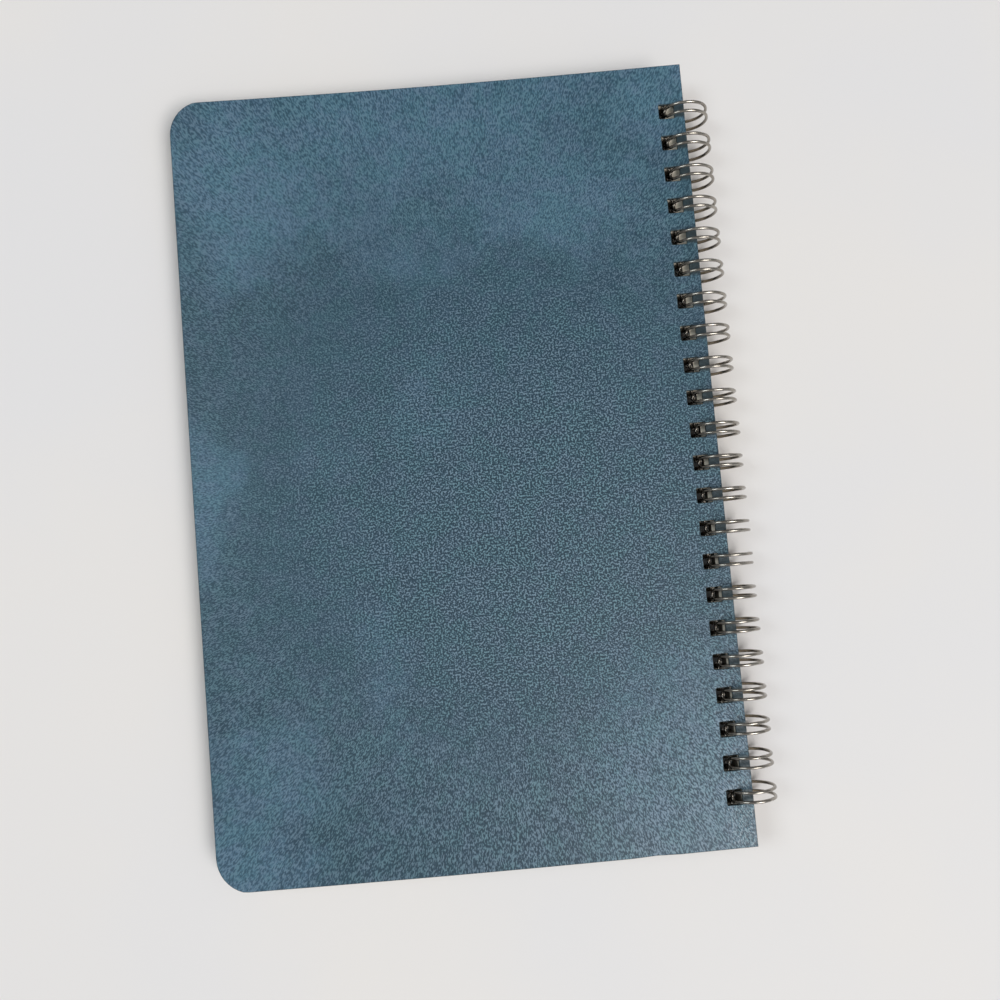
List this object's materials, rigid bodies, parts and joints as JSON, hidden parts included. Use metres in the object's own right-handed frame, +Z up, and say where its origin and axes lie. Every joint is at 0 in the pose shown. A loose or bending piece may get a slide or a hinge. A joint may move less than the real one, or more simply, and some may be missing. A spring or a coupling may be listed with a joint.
{
  "type": "twin-loop bound notebook",
  "caption": "Soft-cover notebook bound with double wire loops along one long side, lying face down, with both covers hinged on the loops.",
  "frame": {"origin": "on the table, under the middle of the whole book", "axes": "+X from the fore-edge towards the wire loops, +Y along the spine towards the head of the back cover, +Z up out of the back cover"},
  "size_m": [0.142, 0.203, 0.0129],
  "materials": {
    "leatherette": "satin",
    "paper": "matte",
    "wire": "satin"
  },
  "bodies": {
    "bound_pages": {"page_block": "paper", "binding_wire": "wire"},
    "front_cover": {"front_cover": "leatherette"},
    "back_cover": {"back_cover": "leatherette"}
  },
  "joints": [
    {"name": "back_cover_hinge", "type": "hinge", "parent": "bound_pages", "child": "back_cover", "pos_m": [0.06453, 0, 0.00647], "axis": [0, 1, 0], "range_deg": [0, 180]},
    {"name": "front_cover_hinge", "type": "hinge", "parent": "bound_pages", "child": "front_cover", "pos_m": [0.06453, 0, 0.00647], "axis": [0, -1, 0], "range_deg": [0, 180]}
  ]
}
